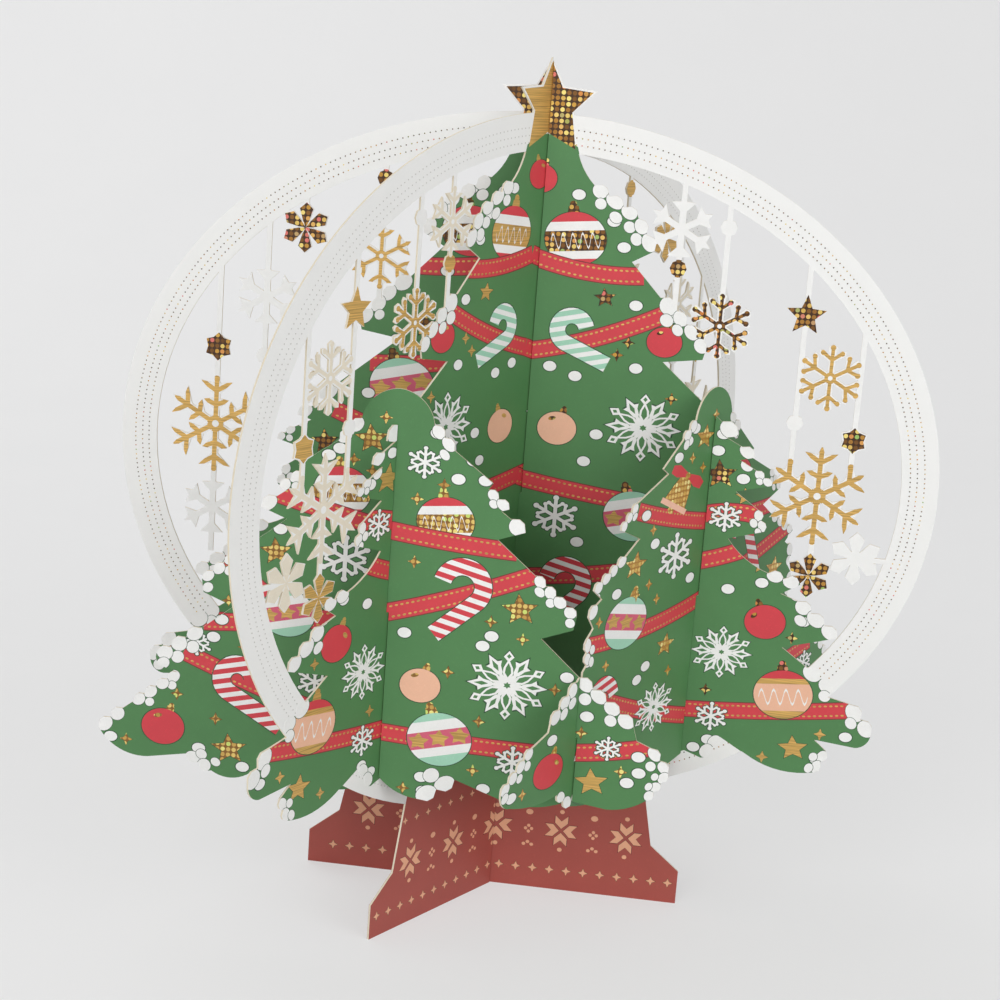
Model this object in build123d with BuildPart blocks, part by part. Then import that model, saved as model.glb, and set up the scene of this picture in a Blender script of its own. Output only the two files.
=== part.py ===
"""Slot-together pop-up card: a snow globe with a tiered Christmas tree.

Four flat sheets of printed card are cut by steel rule dies and pushed into each other at slots.
Two large sheets carry the globe ring, the hanging lace, the tree and its footed trunk. Two small
trees stand in front of them, each one parallel to one of the large sheets.

The origin is on the floor, under the line where the two large sheets cross. The broad sheet
lies in the XZ plane and faces -Y, and +Z is up.
"""

import os
from math import cos, radians, sin, sqrt, tan

from build123d import *

# Card stock and the way the sheets are set up, in millimetres and degrees
card = 0.4
slot_play = 0.12
sheet_angle = 120.5
front_spacing = 38.3
side_spacing = 36.2

# Heights at which one sheet sits down on another inside their slots
main_seat = 82.0
tree_seat = 65.0
corner_seat = 45.0

# Globe ring, an oval band
ring_width = 160.0
ring_height = 134.8
ring_band = 7.0
ring_centre = 87.8

# Trunk and its spreading feet
trunk_half = 28.0
ankle_half = 32.0
foot_half = 38.0
foot_height = 6.9
ankle_height = 11.8
skirt_height = 31.0
trunk_lap = 1.5

# Star on top of the tree, with its points as half widths and as drops below its top
star_base = 149.2
star_height = 16.1
star_shoulder_half = 2.6
star_shoulder_drop = 5.1
star_arm_half = 9.0
star_arm_drop = 5.6
star_waist_half = 4.8
star_waist_drop = 9.7
star_base_half = 6.0
star_lap = 2.0
star_top = star_base + star_height

# Round head of the small trees
head_top = 106.4

# Hanging lace: the strips, and the lines on which they hang. The inner lines are set out from the
# centre line of the sheet, the outer ones and the side flake from the ring's inner edge.
strip = 1.0
strip_lap = 2.0
right_line_1 = 26.8
right_line_2 = 35.6
right_line_3_inset = 21.4
right_line_4_inset = 10.0
left_line_1 = -30.0
left_line_2 = -45.0
left_line_3_inset = 21.0
left_line_4_inset = 11.8
side_flake_inset = 7.2
link_length = 14.0
ring_side = ring_width / 2 - ring_band
right_line_3 = ring_side - right_line_3_inset
right_line_4 = ring_side - right_line_4_inset
left_line_3 = left_line_3_inset - ring_side
left_line_4 = left_line_4_inset - ring_side
side_flake_line = ring_side - side_flake_inset

# Sizes of what hangs on the strips
bead_radius = 1.6
flake_radius = 6.5
flake_arm = 1.2
large_flake_radius = 10.0
large_flake_arm = 1.4
link_petal_radius = 4.6
side_petal_radius = 5.3
left_petal_radius = 5.0
five_point_radius = 3.9
six_point_radius = 2.8

# Spurs of the feathered snowflakes: where each pair leaves its arm and how far it stands out, as
# shares of the radius
single_spurs = [(0.52, 0.26)]
double_spurs = [(0.3, 0.18), (0.6, 0.25)]

# Balls of the beaded snowflakes: the place of a side ball, the ball's own radius and the stretch of
# the arm from which its stem leaves, as shares of the flake's radius
ball_out = 0.75
ball_aside = 0.32
ball_radius = 0.085
stem_root = 0.5
stem_end = 0.66

# Shape of a petal, as shares of the flake's radius
petal_root = 0.26
petal_root_half = 0.13
petal_belly = 0.72
petal_belly_half = 0.28

# Depth of the notches between the points of a star, as a share of its radius
five_point_dip = 0.45
six_point_dip = 0.76

# Snow lumps along a cut edge: the rise of each lump as a share of its width, and its facets
snow_rise = 0.34
snow_facets = 3

# Half outlines of the trees, from the centre line at the top, out and down to the centre line at
# the skirt. A line is straight, a bow is one arc with its rise, and snow is a row of round lumps.
globe_tree = [
    ("bow", star_base_half, star_base, 0.4),
    ("bow", 9.8, 142.4, -0.6),
    ("snow", 18.5, 137.0, 3),
    ("snow", 22.0, 131.0, 2),
    ("line", 18.0, 128.7),
    ("line", 24.0, 122.4),
    ("snow", 27.2, 120.2, 1),
    ("snow", 33.4, 113.0, 3),
    ("line", 33.0, 111.3),
    ("line", 25.5, 110.2),
    ("line", 37.8, 99.8),
    ("snow", 41.2, 97.2, 1),
    ("line", 39.0, 96.8),
    ("line", 42.2, 95.2),
    ("snow", 44.8, 93.4, 1),
    ("line", 42.0, 92.6),
    ("line", 45.4, 90.8),
    ("snow", 48.6, 88.2, 2),
    ("line", 41.8, 86.4),
    ("line", 46.4, 83.2),
    ("snow", 48.0, 79.0, 2),
    ("line", 41.2, 77.0),
    ("bow", 49.6, 70.8, -0.8),
    ("snow", 56.0, 69.2, 2),
    ("line", 52.4, 67.0),
    ("line", 56.0, 65.8),
    ("snow", 64.2, 59.2, 3),
    ("line", 53.8, 56.2),
    ("line", 59.0, 52.6),
    ("snow", 64.6, 48.4, 2),
    ("line", 63.0, 47.2),
    ("line", 68.2, 46.0),
    ("snow", 72.8, 40.2, 2),
    ("bow", 70.0, 37.2, 0.8),
    ("line", 62.0, 38.0),
    ("line", 64.6, 35.8),
    ("snow", 62.6, 31.2, 2),
    ("bow", 50.0, 32.9, 1.2),
    ("line", 43.6, 36.6),
    ("snow", 40.2, 31.8, 2),
    ("line", 36.8, 33.0),
    ("bow", 22.0, skirt_height, 1.2),
    ("bow", 0.0, skirt_height, 1.2),
]

# The two halves of the front tree share their upper tiers, and the left one hangs lower at its tip
front_tiers = [
    ("bow", 6.6, 100.4, 1.6),
    ("snow", 10.4, 96.2, 2),
    ("line", 17.8, 90.8),
    ("line", 17.0, 89.6),
    ("snow", 21.0, 86.4, 2),
    ("line", 19.6, 85.9),
    ("line", 21.4, 84.6),
    ("snow", 24.2, 82.4, 1),
    ("line", 19.3, 80.6),
    ("line", 26.6, 74.6),
    ("snow", 34.6, 67.6, 4),
    ("line", 34.2, 65.2),
    ("line", 28.5, 63.0),
]
front_skirt = [
    ("bow", 24.0, skirt_height, 1.2),
    ("line", 14.6, 34.2),
    ("snow", 8.0, 29.6, 2),
    ("bow", 0.0, 33.6, 1.0),
]
front_right_tip = [
    ("line", 36.0, 56.4),
    ("snow", 46.6, 48.2, 4),
    ("line", 47.4, 45.5),
    ("line", 50.2, 44.4),
    ("snow", 53.6, 40.0, 2),
    ("snow", 50.0, 34.2, 3),
    ("bow", 43.0, 31.7, 0.6),
    ("line", 36.0, 32.6),
]
front_left_tip = [
    ("line", 34.4, 58.2),
    ("snow", 42.8, 51.8, 3),
    ("line", 42.4, 50.3),
    ("line", 38.4, 49.2),
    ("snow", 46.8, 42.6, 4),
    ("line", 48.8, 41.0),
    ("snow", 53.4, 36.8, 2),
    ("bow", 43.8, 32.0, 1.6),
    ("line", 36.4, 33.4),
    ("snow", 31.4, 30.6, 2),
]

front_right = front_tiers + front_right_tip + front_skirt
front_left = front_tiers + front_left_tip + front_skirt

side_tree = [
    ("bow", 6.4, 100.6, 1.6),
    ("snow", 10.4, 97.2, 2),
    ("line", 16.6, 92.4),
    ("line", 14.6, 91.2),
    ("line", 24.4, 87.0),
    ("snow", 29.2, 82.6, 3),
    ("line", 22.6, 80.0),
    ("line", 27.0, 77.2),
    ("snow", 36.4, 72.4, 4),
    ("line", 33.6, 70.4),
    ("line", 35.0, 69.6),
    ("snow", 37.4, 67.6, 1),
    ("line", 35.6, 65.2),
    ("line", 37.4, 63.4),
    ("snow", 36.8, 58.4, 2),
    ("line", 39.4, 55.8),
    ("snow", 46.8, 49.6, 3),
    ("line", 47.2, 48.0),
    ("line", 52.0, 46.2),
    ("snow", 60.4, 39.6, 4),
    ("bow", 57.6, 36.4, 0.9),
    ("bow", 43.0, 35.0, 0.8),
    ("snow", 38.6, 31.6, 2),
    ("bow", 20.0, skirt_height, 1.2),
    ("bow", 0.0, 32.4, 1.0),
]

# The planes of the four sheets: local X runs along the sheet, local Y is up
up = Vector(0, 0, 1)
along_broad = Vector(1, 0, 0)
along_cross = along_broad.rotate(Axis.Z, -sheet_angle)
broad_plane = Plane((0, 0, 0), x_dir=along_broad, z_dir=along_broad.cross(up))
cross_plane = Plane((0, 0, 0), x_dir=along_cross, z_dir=along_cross.cross(up))
front_plane = Plane(along_cross * front_spacing, x_dir=along_broad, z_dir=along_broad.cross(up))
side_plane = Plane(along_broad * side_spacing, x_dir=along_cross, z_dir=along_cross.cross(up))

# A slot takes a sheet that comes through at a slant, so it is wider than the card is thick
slant = radians(180 - sheet_angle)
slot_width = card * (1 / sin(slant) + 1 / tan(slant)) + slot_play


def snow_row(here, there, lumps):
    """Points of a row of round snow lumps that swell to the left of the way from here to there."""
    facet = (there - here) / (lumps * snow_facets)
    swell = facet.rotate(Axis.Z, 90) * snow_facets * snow_rise
    points = []
    for count in range(lumps * snow_facets + 1):
        points.append(here + facet * count + swell * abs(sin(radians(180 * count / snow_facets))))
    return points


def tree_half(top, steps):
    """Draw the right half of a tree from its steps."""
    start = (0, top)
    with BuildSketch(mode=Mode.PRIVATE) as half:
        with BuildLine():
            here = Vector(*start)
            for step in steps:
                there = Vector(step[1], step[2])
                if step[0] == "line":
                    Line(here, there)
                elif step[0] == "bow":
                    SagittaArc(here, there, step[3])
                else:
                    Polyline(*snow_row(here, there, step[3]))
                here = there
            Line(here, start)
        make_face()
    return half.sketch


def tree_face(top, right_steps, left_steps):
    """Put the two halves of a tree together at its centre line."""
    with BuildSketch(mode=Mode.PRIVATE) as tree:
        add(tree_half(top, right_steps))
        mirror(tree_half(top, left_steps), about=Plane.YZ)
    return tree.sketch


def ring_underside(distance):
    """Height of the ring's inner edge above the floor, over a place on the sheet."""
    rise = ring_height / 2 - ring_band
    return ring_centre + rise * sqrt(1 - (distance / ring_side) ** 2)


def turned(points, count):
    """Repeat the points of one arm all the way round a centre."""
    outline = []
    for arm in range(count):
        turn = radians(90 + 360 * arm / count)
        for x, y in points:
            outline.append((x * cos(turn) - y * sin(turn), x * sin(turn) + y * cos(turn)))
    return outline


def six_arms(place, radius, arm, one_side):
    """Snowflake of six pointed arms, each drawn by one side of it and its mirror image."""
    hub = (arm * cos(radians(30)), -arm / 2)
    other_side = [(x, -y) for x, y in reversed(one_side)]
    with Locations(place):
        Polygon(*turned([hub] + one_side + [(radius, 0)] + other_side, 6), align=None)


def feathered_flake(place, radius, arm, spurs):
    """Snowflake whose straight arms carry pairs of slanted spurs."""
    edge = -arm / 2
    one_side = []
    for share, reach_share in spurs:
        root = share * radius
        reach = reach_share * radius
        one_side += [(root, edge), (root + reach, edge - reach), (root + 1.5 * arm, edge)]
    six_arms(place, radius, arm, one_side)


def beaded_flake(place, radius, arm):
    """Snowflake whose arms end in a ball, with a ball on a stem to each side."""
    edge = -arm / 2
    out, aside, ball = ball_out * radius, ball_aside * radius, ball_radius * radius
    slanted = ball * sin(radians(45))
    one_side = [
        (stem_root * radius, edge),
        (out - slanted, -aside - slanted),
        (out + slanted, -aside - slanted),
        (out + slanted, slanted - aside),
        (stem_end * radius, edge),
        (radius - ball, edge - ball / 2),
    ]
    six_arms(place, radius, arm, one_side)


def petal_flake(place, radius):
    """Snowflake with six broad petals."""
    petal = [
        (petal_root * radius, -petal_root_half * radius),
        (petal_belly * radius, -petal_belly_half * radius),
        (radius, 0),
        (petal_belly * radius, petal_belly_half * radius),
        (petal_root * radius, petal_root_half * radius),
    ]
    with Locations(place):
        Polygon(*turned(petal, 6), align=None)


def pointed_star(place, radius, points):
    """Plain star with straight-sided points."""
    dip = five_point_dip if points == 5 else six_point_dip
    notch = (dip * radius * cos(radians(180 / points)), dip * radius * sin(radians(180 / points)))
    with Locations(place):
        Polygon(*turned([(radius, 0), notch], points), align=None)


def bead(place):
    """Small eight-sided bead on a strip."""
    with Locations(place):
        RegularPolygon(bead_radius, 8)


def hanging_strip(distance, low):
    """Narrow strip that hangs from the ring at a place on the sheet, down to a height."""
    high = ring_underside(distance) + strip_lap
    with Locations((distance, (low + high) / 2)):
        Rectangle(strip, high - low)


# Lace in the two windows of the globe
with BuildSketch() as lace:
    # Right half on the broad sheet, front half on the cross sheet
    hanging_strip(right_line_1, 119.0)
    feathered_flake((right_line_1, 135.6), flake_radius, flake_arm, single_spurs)
    bead((right_line_1, 128.2))
    hanging_strip(right_line_2, 118.0)
    bead((right_line_2, 136.6))
    beaded_flake((right_line_2, 118.0), flake_radius, flake_arm)
    hanging_strip(right_line_3, 92.0)
    pointed_star((right_line_3, 121.4), five_point_radius, 5)
    bead((right_line_3, 100.8))
    hanging_strip(right_line_4, 92.0)
    pointed_star((right_line_4, 98.4), six_point_radius, 6)

    # Flakes that bridge the two outer strips, and one on a short link from the ring's inner edge
    bridge = (right_line_3 + right_line_4) / 2
    beaded_flake((bridge, 110.0), flake_radius, flake_arm)
    feathered_flake((bridge, 87.0), large_flake_radius, large_flake_arm, double_spurs)
    with Locations((bridge, 74.0)):
        Rectangle(strip, link_length)
    petal_flake((bridge, 71.2), link_petal_radius)
    petal_flake((side_flake_line, 75.4), side_petal_radius)
    with Locations((side_flake_line + side_flake_inset / 2, 75.4)):
        Rectangle(side_flake_inset, strip)

    # Left half on the broad sheet, back half on the cross sheet
    hanging_strip(left_line_1, 115.0)
    bead((left_line_1, 140.6))
    feathered_flake((left_line_1, 125.8), flake_radius, flake_arm, single_spurs)
    hanging_strip(left_line_2, 128.0)
    petal_flake((left_line_2, 130.0), left_petal_radius)
    hanging_strip(left_line_3, 84.0)
    bead((left_line_3, 104.4))
    feathered_flake((left_line_3, 116.0), flake_radius, flake_arm, single_spurs)
    hanging_strip(left_line_4, 64.0)
    pointed_star((left_line_4, 105.4), six_point_radius, 6)
    feathered_flake((left_line_4, 90.0), large_flake_radius, large_flake_arm, double_spurs)
    feathered_flake((left_line_4, 73.0), flake_radius, flake_arm, single_spurs)


def slot(distance, low, high):
    """Cut an upright slot into the open sketch."""
    with Locations((distance, (low + high) / 2)):
        Rectangle(slot_width, high - low, mode=Mode.SUBTRACT)


# Star, and trunk with its feet, each drawn as one half and mirrored
with BuildSketch() as star:
    with BuildLine():
        Polyline(
            (0, star_top),
            (star_shoulder_half, star_top - star_shoulder_drop),
            (star_arm_half, star_top - star_arm_drop),
            (star_waist_half, star_top - star_waist_drop),
            (star_base_half, star_base),
            (0, star_base),
            close=True,
        )
    make_face()
    mirror(about=Plane.YZ)

with BuildSketch() as trunk:
    with BuildLine():
        Polyline(
            (0, skirt_height + trunk_lap),
            (trunk_half, skirt_height + trunk_lap),
            (ankle_half, ankle_height),
            (foot_half, foot_height),
            (foot_half, 0),
            (0, 0),
            close=True,
        )
    make_face()
    mirror(about=Plane.YZ)

# Whole outline of a large sheet, before its slots are cut
with BuildSketch() as globe:
    with Locations((0, ring_centre)):
        Ellipse(ring_width / 2, ring_height / 2)
        Ellipse(ring_side, ring_height / 2 - ring_band, mode=Mode.SUBTRACT)
    add(lace.sketch)
    add(tree_face(star_base + star_lap, globe_tree, globe_tree))
    add(star.sketch)
    add(trunk.sketch)

# Broad sheet: open at the top on its centre line, and over the seat of the side tree
with BuildPart() as broad_globe_sheet:
    with BuildSketch(broad_plane.offset(-card / 2)):
        add(globe.sketch)
        slot(0, main_seat, star_top)
        slot(side_spacing, tree_seat, head_top)
    extrude(amount=card)

# Cross sheet: open at the foot on its centre line, and over the seat of the front tree
with BuildPart() as cross_globe_sheet:
    with BuildSketch(cross_plane.offset(-card / 2)):
        add(globe.sketch)
        slot(0, 0, main_seat)
        slot(front_spacing, tree_seat, head_top)
    extrude(amount=card)

# Front tree: open at the skirt, where it goes down over the cross sheet and the side tree
with BuildPart() as front_tree_sheet:
    with BuildSketch(front_plane.offset(-card / 2)):
        add(tree_face(head_top, front_right, front_left))
        slot(0, 0, tree_seat)
        slot(side_spacing, 0, corner_seat)
    extrude(amount=card)

# Side tree: open at the skirt over the broad sheet, and at its upper edge for the front tree
with BuildPart() as side_tree_sheet:
    with BuildSketch(side_plane.offset(-card / 2)):
        add(tree_face(head_top, side_tree, side_tree))
        slot(0, 0, tree_seat)
        slot(front_spacing, corner_seat, tree_seat)
    extrude(amount=card)

os.makedirs("parts", exist_ok=True)
broad_globe_sheet.part.label = "broad_globe_sheet"
export_step(broad_globe_sheet.part, "parts/broad_globe_sheet.step")
cross_globe_sheet.part.label = "cross_globe_sheet"
export_step(cross_globe_sheet.part, "parts/cross_globe_sheet.step")
front_tree_sheet.part.label = "front_tree_sheet"
export_step(front_tree_sheet.part, "parts/front_tree_sheet.step")
side_tree_sheet.part.label = "side_tree_sheet"
export_step(side_tree_sheet.part, "parts/side_tree_sheet.step")
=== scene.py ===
# %% [markdown]
# A slot-together pop-up card, dressed for a render. The four sheets of card come from the packed
# model and stay exactly where they are. What this script adds is what a printer adds: inks and
# foils on both faces of each sheet, and the finish of the bare card.

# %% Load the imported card
import random
from math import acos, asin, atan2, cos, hypot, pi, radians, sin

import bpy
from mathutils import Matrix, Vector
from mathutils.geometry import delaunay_2d_cdt


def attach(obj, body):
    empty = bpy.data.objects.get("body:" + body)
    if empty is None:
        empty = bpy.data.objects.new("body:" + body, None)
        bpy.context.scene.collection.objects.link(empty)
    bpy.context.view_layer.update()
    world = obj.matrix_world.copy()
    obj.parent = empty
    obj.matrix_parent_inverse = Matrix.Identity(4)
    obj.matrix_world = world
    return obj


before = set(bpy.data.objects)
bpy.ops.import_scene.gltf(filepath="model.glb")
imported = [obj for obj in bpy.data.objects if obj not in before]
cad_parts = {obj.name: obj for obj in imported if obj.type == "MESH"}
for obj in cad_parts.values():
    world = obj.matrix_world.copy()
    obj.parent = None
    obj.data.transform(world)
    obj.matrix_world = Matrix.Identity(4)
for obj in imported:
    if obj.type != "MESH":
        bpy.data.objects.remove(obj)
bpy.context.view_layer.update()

scene = bpy.context.scene
scene.view_settings.view_transform = "Standard"
print("sheets of card:", sorted(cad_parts))

# %% [markdown]
# Each sheet is flat, so its artwork is drawn in two dimensions, in millimetres: a distance along
# the sheet from its upright centre line, and a height above the table. A sheet then only needs to
# know where its centre line stands and which way it runs. The two large sheets cross on the
# upright axis, and each small tree is parallel to one of them.

# %% Where the four sheets stand
MM = 0.001
card = 0.4
ink_film = 0.03
sheet_angle = radians(120.5)
front_spacing = 38.3
side_spacing = 36.2
up = Vector((0, 0, 1))
along_broad = Vector((1, 0, 0))
along_cross = Vector((cos(sheet_angle), -sin(sheet_angle), 0))


class Sheet:
    """One flat sheet of card: its node, its centre line, its direction and its foil."""

    def __init__(self, node, slot, centre, along, foil):
        self.node = node
        self.slot = slot
        self.centre = centre
        self.along = along
        self.normal = along.cross(up)
        self.foil = foil

    def point(self, across, height, depth):
        """A place in metres from a place on the sheet, at a depth along the sheet's normal."""
        return (self.centre + self.along * across + up * height + self.normal * depth) * MM


broad = Sheet("broad_globe_sheet", "globe_card", Vector(), along_broad, "holo")
cross = Sheet("cross_globe_sheet", "globe_card", Vector(), along_cross, "gold")
front = Sheet("front_tree_sheet", "tree_card", along_cross * front_spacing, along_broad, "holo")
side = Sheet("side_tree_sheet", "tree_card", along_broad * side_spacing, along_cross, "holo")
sheets = [broad, cross, front, side]
print("sheet normals:", [tuple(round(v, 2) for v in sheet.normal) for sheet in sheets])

# %% [markdown]
# Materials are written as Python expressions, which are easier to read than a list of nodes and
# links. One small class wraps a socket, so that adding or multiplying two values adds a Math node.


# %% Shader maths as expressions
class Value:
    """A number that changes over the surface, with Python's own operators."""

    def __init__(self, finish, socket):
        self.finish = finish
        self.socket = socket

    def math(self, operation, first, second=0.0):
        return self.finish.node("ShaderNodeMath", {"operation": operation}, {0: first, 1: second})

    def __add__(self, other):
        return self.math("ADD", self, other)

    __radd__ = __add__

    def __sub__(self, other):
        return self.math("SUBTRACT", self, other)

    def __rsub__(self, other):
        return self.math("SUBTRACT", other, self)

    def __mul__(self, other):
        return self.math("MULTIPLY", self, other)

    __rmul__ = __mul__

    def __lt__(self, other):
        return self.math("LESS_THAN", self, other)

    def __gt__(self, other):
        return self.math("GREATER_THAN", self, other)

    def __or__(self, other):
        return self.math("MAXIMUM", self, other)

    def __abs__(self):
        return self.math("ABSOLUTE", self)

    def fraction(self):
        return self.math("FRACT", self)

    def floor(self):
        return self.math("FLOOR", self)


# %% [markdown]
# A finish is a material and its node tree. One method adds any other node: it takes the node's type,
# its settings, and the values or links of its sockets. A few short methods use it for what comes up
# again and again, such as a noise whose lumps have a size in millimetres.


# %% One class for a finish
class Finish:
    """A material and its node tree."""

    def __init__(self, name, roughness=0.5, metallic=0.0):
        self.material = bpy.data.materials.new(name)
        self.material.use_nodes = True
        self.tree = self.material.node_tree
        self.shader = self.tree.nodes["Principled BSDF"]
        self.shader.inputs["Roughness"].default_value = roughness
        self.shader.inputs["Metallic"].default_value = metallic

    def node(self, kind, settings=None, inputs=None, output=0):
        """Add a node, set it up, fill or link its sockets, and give one output."""
        made = self.tree.nodes.new(kind)
        for name, value in (settings or {}).items():
            if name == "stops":
                self.set_stops(made.color_ramp, value)
            else:
                setattr(made, name, value)
        for name, value in (inputs or {}).items():
            if isinstance(value, Value):
                self.tree.links.new(value.socket, made.inputs[name])
            else:
                made.inputs[name].default_value = value
        return Value(self, made.outputs[output])

    def set_stops(self, ramp, stops):
        while len(ramp.elements) < len(stops):
            ramp.elements.new(0.5)
        for element, (position, colour) in zip(ramp.elements, stops):
            element.position = position
            element.color = colour

    def feed(self, socket, value):
        """Link a value to one of the shader's own sockets."""
        self.tree.links.new(value.socket, self.shader.inputs[socket])

    def mix(self, share, low, high):
        """Mix two colours by a share from 0 to 1."""
        settings = {"data_type": "RGBA"}
        return self.node("ShaderNodeMix", settings, {0: share, 6: low, 7: high}, 2)

    def position(self):
        return self.node("ShaderNodeTexCoord", output="Object")

    def dot(self, vector, direction):
        """How far a vector reaches along a fixed direction."""
        settings = {"operation": "DOT_PRODUCT"}
        return self.node("ShaderNodeVectorMath", settings, {0: vector, 1: tuple(direction)}, "Value")

    def noise(self, size_mm, detail=2.0):
        """Noise with lumps of a size in millimetres."""
        inputs = {"Vector": self.position(), "Scale": 1 / (size_mm * MM), "Detail": detail}
        return self.node("ShaderNodeTexNoise", inputs=inputs, output="Fac")

    def bump(self, height, strength, distance_mm):
        inputs = {"Height": height, "Strength": strength, "Distance": distance_mm * MM}
        self.feed("Normal", self.node("ShaderNodeBump", inputs=inputs))


# %% [markdown]
# Colours are given as levels from 0 to 255. Shaders count in linear light, so one function
# converts a colour, and another makes a tone lighter or darker.


# %% Colours
def srgb(red, green, blue):
    """A colour given as levels from 0 to 255, made linear."""
    linear = [((level / 255 + 0.055) / 1.055) ** 2.4 for level in (red, green, blue)]
    return (*linear, 1.0)


def shade(colour, factor):
    """The same colour, lighter or darker."""
    return tuple(min(1.0, channel * factor) for channel in colour[:3]) + (1.0,)


print("a level of 128 is", round(srgb(128, 128, 128)[0], 3), "in linear light")

# %% [markdown]
# The card is white on its faces and cream in its core, which shows on every cut edge. The object's
# own normal tells the two apart: on a face it lies along the sheet's normal, on a cut it doesn't.
# A fine noise gives the tooth of the paper.

# %% Bare card
card_white = srgb(243, 243, 241)
card_core = srgb(233, 222, 199)
card_tooth = 0.35
card_clouds = 9.0
core_grain = 0.5


def card_finish(sheet):
    finish = Finish(sheet.node + "_card", roughness=0.62)
    normal = finish.node("ShaderNodeTexCoord", output="Normal")
    cut_edge = abs(finish.dot(normal, sheet.normal)) < 0.5
    tooth = finish.noise(card_tooth, 4.0)
    clouds = finish.noise(card_clouds)
    face = finish.mix(tooth * 0.35 + clouds * 0.35, shade(card_white, 0.93), card_white)
    core = finish.mix(finish.noise(core_grain, 3.0), shade(card_core, 0.88), card_core)
    finish.feed("Base Color", finish.mix(cut_edge, face, core))
    finish.bump(tooth, 0.12, 0.05)
    return finish.material


for sheet in sheets:
    material_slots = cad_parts[sheet.node].data.materials
    material_slots.clear()
    material_slots.append(card_finish(sheet))
print("bare card on", len(sheets), "sheets")

# %% [markdown]
# Offset ink is not one flat colour: it lies unevenly, and the paper's tooth shows through as
# small pale specks. Each ink mixes a darker and a lighter tone with two noises, and its gloss
# varies a little with them.

# %% Inks
ink_tones = {
    "green": srgb(76, 127, 75),
    "line": srgb(36, 74, 44),
    "red": srgb(208, 60, 70),
    "white": srgb(240, 240, 238),
    "mint": srgb(160, 210, 184),
    "pink": srgb(210, 92, 118),
    "peach": srgb(236, 184, 154),
    "blush": srgb(242, 190, 166),
    "trunk": srgb(170, 80, 70),
    "seam": srgb(108, 42, 40),
    "tan": srgb(238, 178, 142),
    "silver": srgb(198, 196, 192),
    "cream": srgb(230, 221, 202),
}
ink_clouds = 6.0
ink_tooth = 0.28
speck_size = 0.5
speck_level = 0.68


def ink_finish(name, tone):
    finish = Finish("ink_" + name)
    clouds = finish.noise(ink_clouds, 3.0)
    tooth = finish.noise(ink_tooth, 3.0)
    speck = finish.noise(speck_size, 1.0) > speck_level
    body = finish.mix(clouds * 0.6 + tooth * 0.4, shade(tone, 0.86), shade(tone, 1.12))
    finish.feed("Base Color", finish.mix(speck * 0.12, body, shade(tone, 1.5)))
    finish.feed("Roughness", 0.42 + tooth * 0.22)
    finish.bump(tooth, 0.1, 0.04)
    return finish.material


ink_materials = {name: ink_finish(name, tone) for name, tone in ink_tones.items()}
print("inks:", ", ".join(ink_materials))

# %% [markdown]
# Two foils are stamped on the card. The gold one is brushed: long fine streaks run along the
# sheet. The other is a pixel foil: a grid of tiny round cells on a darker ground, some of them
# flashing in yellow, green, orange or pink. A cell number from the floor of the position and a white
# noise on it give each cell its own colour. The pixel foil is one foil, but each sheet gets a lighter
# or darker copy of it: painted shade makes it dark bronze with many flashes on the broad sheet, and
# painted light makes it closer to gold on the small trees, most of all on the side tree.

# %% Foils
gold_tone = srgb(206, 166, 94)
# Three copies of one pixel foil's cells, from shaded to lit, one for each sheet: painted shade and
# painted light.
shaded_pixel_cells = [
    (0.0, srgb(104, 68, 30)),
    (0.3, srgb(152, 104, 46)),
    (0.5, srgb(208, 156, 66)),
    (0.68, srgb(252, 230, 134)),
    (0.86, srgb(214, 128, 62)),
    (0.91, srgb(152, 200, 108)),
    (0.96, srgb(226, 122, 112)),
]
half_lit_pixel_cells = [
    (0.0, srgb(188, 144, 70)),
    (0.4, srgb(216, 176, 94)),
    (0.7, srgb(236, 206, 118)),
    (0.88, srgb(250, 236, 140)),
    (0.95, srgb(210, 226, 120)),
]
lit_pixel_cells = [
    (0.0, srgb(196, 150, 70)),
    (0.3, srgb(226, 188, 100)),
    (0.8, srgb(238, 206, 122)),
    (0.93, srgb(252, 238, 160)),
]
# Each sheet's copy of the pixel foil: darkest on the broad sheet as painted shade, lightest on the side
# tree as painted light.
lit_and_shaded_pixel_foils = {
    broad.node: (srgb(66, 40, 16), shaded_pixel_cells),
    front.node: (srgb(136, 96, 44), half_lit_pixel_cells),
    side.node: (srgb(176, 126, 52), lit_pixel_cells),
}
pixel_pitch = 1.05
pixel_radius = 0.4
streaks_along = 0.1
streaks_across = 4.5


def on_sheet(finish, sheet):
    """Place along the sheet and height above the table, in millimetres."""
    position = finish.position()
    across = finish.dot(position, sheet.along)
    height = finish.node("ShaderNodeSeparateXYZ", inputs={0: position}, output="Z")
    return across * (1 / MM), height * (1 / MM)


def gold_finish(sheet):
    finish = Finish(sheet.node + "_gold", metallic=0.5)
    across, height = on_sheet(finish, sheet)
    grain = {"X": across * streaks_along, "Y": height * streaks_across}
    brushed = finish.node("ShaderNodeCombineXYZ", inputs=grain)
    streaks = finish.node("ShaderNodeTexNoise", inputs={"Vector": brushed, "Scale": 1.0, "Detail": 3.0})
    stops = [(0.32, shade(gold_tone, 0.66)), (0.5, gold_tone), (0.66, shade(gold_tone, 1.3))]
    finish.feed("Base Color", finish.node("ShaderNodeValToRGB", {"stops": stops}, {0: streaks}))
    finish.feed("Roughness", 0.3 + streaks * 0.2)
    finish.bump(streaks, 0.12, 0.04)
    return finish.material


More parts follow.
